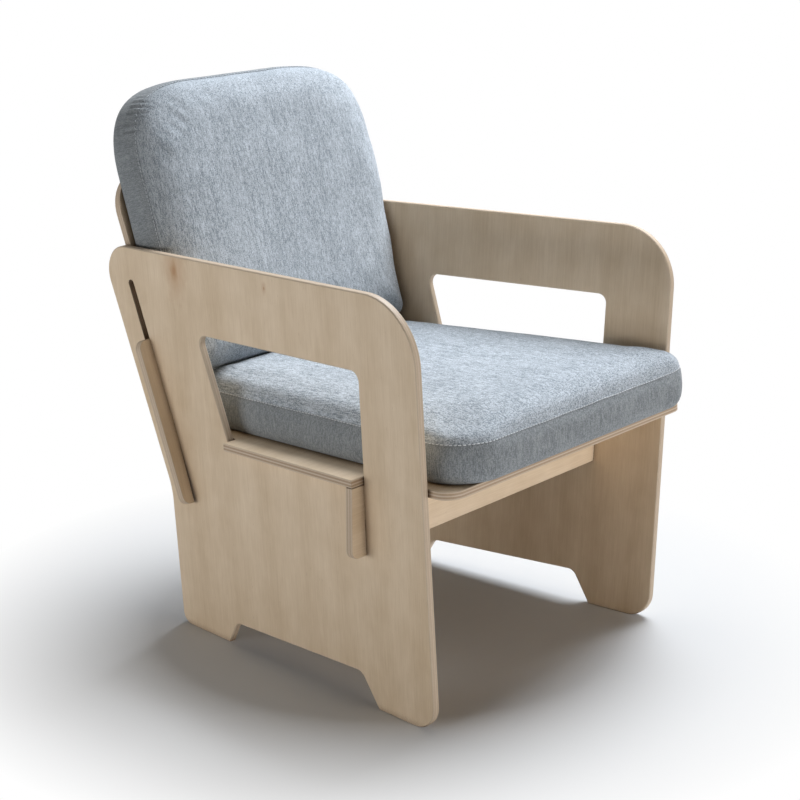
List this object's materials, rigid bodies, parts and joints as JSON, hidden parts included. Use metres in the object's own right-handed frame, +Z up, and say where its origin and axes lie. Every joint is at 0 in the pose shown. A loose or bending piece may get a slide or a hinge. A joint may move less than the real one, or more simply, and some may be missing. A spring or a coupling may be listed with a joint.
{
  "type": "accent chair",
  "caption": "Slot-together plywood lounge chair with leaning windowed side panels, a reclined back board with hooked ears and loose grey seat and back cushions.",
  "frame": {"origin": "centre of the bounding box at floor level, under the seat", "axes": "+Z up, the chair faces -Y, +X is the sitter's left"},
  "size_m": [0.636, 0.7637, 0.8646],
  "materials": {
    "birch_plywood": "clear satin oil",
    "woven_cover": "melange plain weave",
    "foam": "open-cell",
    "zip_tape": "woven tape with nylon coil",
    "zip_slider": "dull nickel"
  },
  "bodies": {
    "frame": {"side_panel_left": "birch_plywood", "side_panel_right": "birch_plywood", "front_rail": "birch_plywood", "seat_board": "birch_plywood"},
    "back": {"back_board": "birch_plywood"},
    "seat_cushion": {"seat_cushion_cover": "woven_cover", "seat_cushion_foam": "foam", "seat_cushion_zip": "zip_tape"},
    "back_cushion": {"back_cushion_cover": "woven_cover", "back_cushion_foam": "foam", "back_cushion_zip": "zip_tape"},
    "seat_slider": {"seat_zip_slider": "zip_slider"},
    "back_slider": {"back_zip_slider": "zip_slider"}
  },
  "joints": [
    {"name": "back_board_lift", "type": "slide", "parent": "frame", "child": "back", "axis": [0, 0.3132, 0.9497], "range_m": [0, 0.091]},
    {"name": "seat_cushion_slide", "type": "slide", "parent": "frame", "child": "seat_cushion", "axis": [0, -0.9985, 0.0553], "range_m": [0, 0.15]},
    {"name": "back_cushion_lift", "type": "slide", "parent": "frame", "child": "back_cushion", "axis": [0, 0.3132, 0.9497], "range_m": [0, 0.15]},
    {"name": "seat_zip_slide", "type": "slide", "parent": "seat_cushion", "child": "seat_slider", "axis": [1, 0, 0], "range_m": [0, 0.376]},
    {"name": "back_zip_slide", "type": "slide", "parent": "back_cushion", "child": "back_slider", "axis": [1, 0, 0], "range_m": [0, 0.376]}
  ]
}
